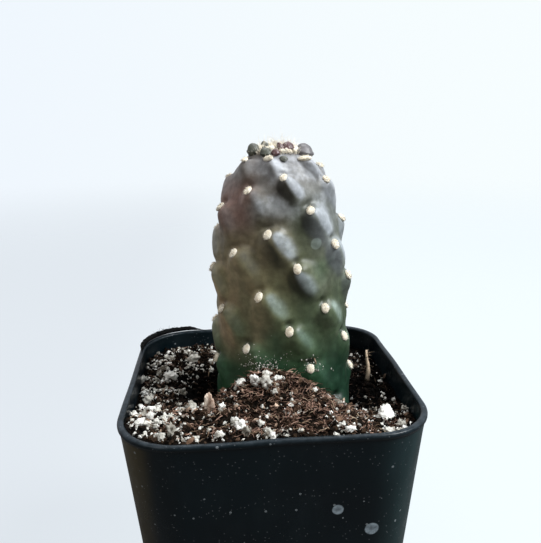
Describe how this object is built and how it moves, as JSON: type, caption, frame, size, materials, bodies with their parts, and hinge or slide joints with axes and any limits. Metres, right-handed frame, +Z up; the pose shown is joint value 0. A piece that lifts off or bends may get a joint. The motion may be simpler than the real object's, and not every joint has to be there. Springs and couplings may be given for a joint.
{
  "type": "potted paddle cactus",
  "caption": "Short thick-stemmed spineless paddle cactus with woolly areoles, growing in a square black plastic nursery pot of peaty mix.",
  "frame": {"origin": "centre of the pot's underside, on the surface it stands on", "axes": "+Z up the stem, -Y towards the front, +X to the right of the front"},
  "size_m": [0.0853, 0.0852, 0.1546],
  "materials": {
    "pot_plastic": "satin black, thin moulded",
    "stem_skin": "waxy plant skin with a grey bloom",
    "areole_wool": "cream felted wool",
    "crown_leaf_flesh": "dark fleshy leaf",
    "peat_mix": "dark crumbly peat with fibres",
    "perlite_grain": "matt white expanded grain",
    "dark_bark": "dark dry bark",
    "pale_bark": "pale dry bark"
  },
  "bodies": {
    "root": {"areole_01": "areole_wool", "areole_02": "areole_wool", "areole_03": "areole_wool", "areole_04": "areole_wool", "areole_05": "areole_wool", "areole_06": "areole_wool", "areole_07": "areole_wool", "areole_08": "areole_wool", "areole_09": "areole_wool", "areole_10": "areole_wool", "areole_11": "areole_wool", "areole_12": "areole_wool", "areole_13": "areole_wool", "areole_14": "areole_wool", "areole_15": "areole_wool", "areole_16": "areole_wool", "areole_17": "areole_wool", "areole_18": "areole_wool", "areole_19": "areole_wool", "areole_20": "areole_wool", "areole_21": "areole_wool", "areole_22": "areole_wool", "areole_23": "areole_wool", "areole_24": "areole_wool", "areole_25": "areole_wool", "areole_26": "areole_wool", "areole_27": "areole_wool", "areole_28": "areole_wool", "areole_29": "areole_wool", "areole_30": "areole_wool", "areole_31": "areole_wool", "areole_32": "areole_wool", "areole_33": "areole_wool", "areole_34": "areole_wool", "areole_35": "areole_wool", "areole_36": "areole_wool", "areole_37": "areole_wool", "areole_38": "areole_wool", "areole_39": "areole_wool", "areole_40": "areole_wool", "areole_41": "areole_wool", "areole_42": "areole_wool", "areole_43": "areole_wool", "areole_44": "areole_wool", "bark_chip": "pale_bark", "crown_leaf_01": "crown_leaf_flesh", "crown_leaf_02": "crown_leaf_flesh", "crown_leaf_03": "crown_leaf_flesh", "crown_leaf_04": "crown_leaf_flesh", "crown_leaf_05": "crown_leaf_flesh", "crown_leaf_06": "crown_leaf_flesh", "crown_wool": "areole_wool", "perlite_01": "perlite_grain", "perlite_02": "perlite_grain", "perlite_03": "perlite_grain", "perlite_04": "perlite_grain", "pot": "pot_plastic", "potting_mix": "peat_mix", "rim_scrap": "dark_bark", "stem": "stem_skin"}
  },
  "joints": []
}
